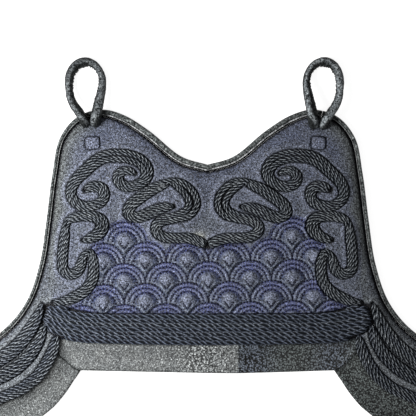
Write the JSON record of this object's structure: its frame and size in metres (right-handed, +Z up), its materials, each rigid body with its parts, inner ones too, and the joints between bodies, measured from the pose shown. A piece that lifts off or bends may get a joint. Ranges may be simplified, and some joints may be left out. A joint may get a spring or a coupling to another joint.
{
  "type": "kendo chest protector breast panel",
  "caption": "Padded leather breast panel with under-arm wings, lacing flaps, shoulder loops and raised cord scrolls, laid flat.",
  "frame": {"origin": "bottom centre of the bounding box, on the surface the piece lies on", "axes": "+Z up out of the decorated face, +Y towards the neck and loops, +X to the viewer's right across the wings"},
  "size_m": [0.644, 0.4012, 0.0188],
  "materials": {
    "face_leather": "fine-grained blue-grey leather, satin",
    "flap_leather": "coarse-grained grey leather, satin",
    "binding_leather": "smooth dark leather, satin",
    "loop_leather": "smooth rolled leather, satin",
    "cord": "couched twisted cord, matt dark blue"
  },
  "bodies": {
    "root": {"padded_panel": "face_leather", "left_loop_tab": "face_leather", "right_loop_tab": "face_leather", "middle_flap": "flap_leather", "left_wing_flap": "flap_leather", "right_wing_flap": "flap_leather", "neck_binding": "binding_leather", "left_binding": "binding_leather", "right_binding": "binding_leather", "left_loop": "loop_leather", "right_loop": "loop_leather", "hem_band": "cord", "left_arch_scroll": "cord", "left_crest_scroll": "cord", "left_heart_scroll": "cord", "left_hook_scroll": "cord", "left_side_scroll": "cord", "left_foot_scroll": "cord", "left_outer_cord": "cord", "left_middle_cord": "cord", "left_inner_cord": "cord", "right_arch_scroll": "cord", "right_crest_scroll": "cord", "right_heart_scroll": "cord", "right_hook_scroll": "cord", "right_side_scroll": "cord", "right_foot_scroll": "cord", "right_outer_cord": "cord", "right_middle_cord": "cord", "right_inner_cord": "cord"}
  },
  "joints": []
}
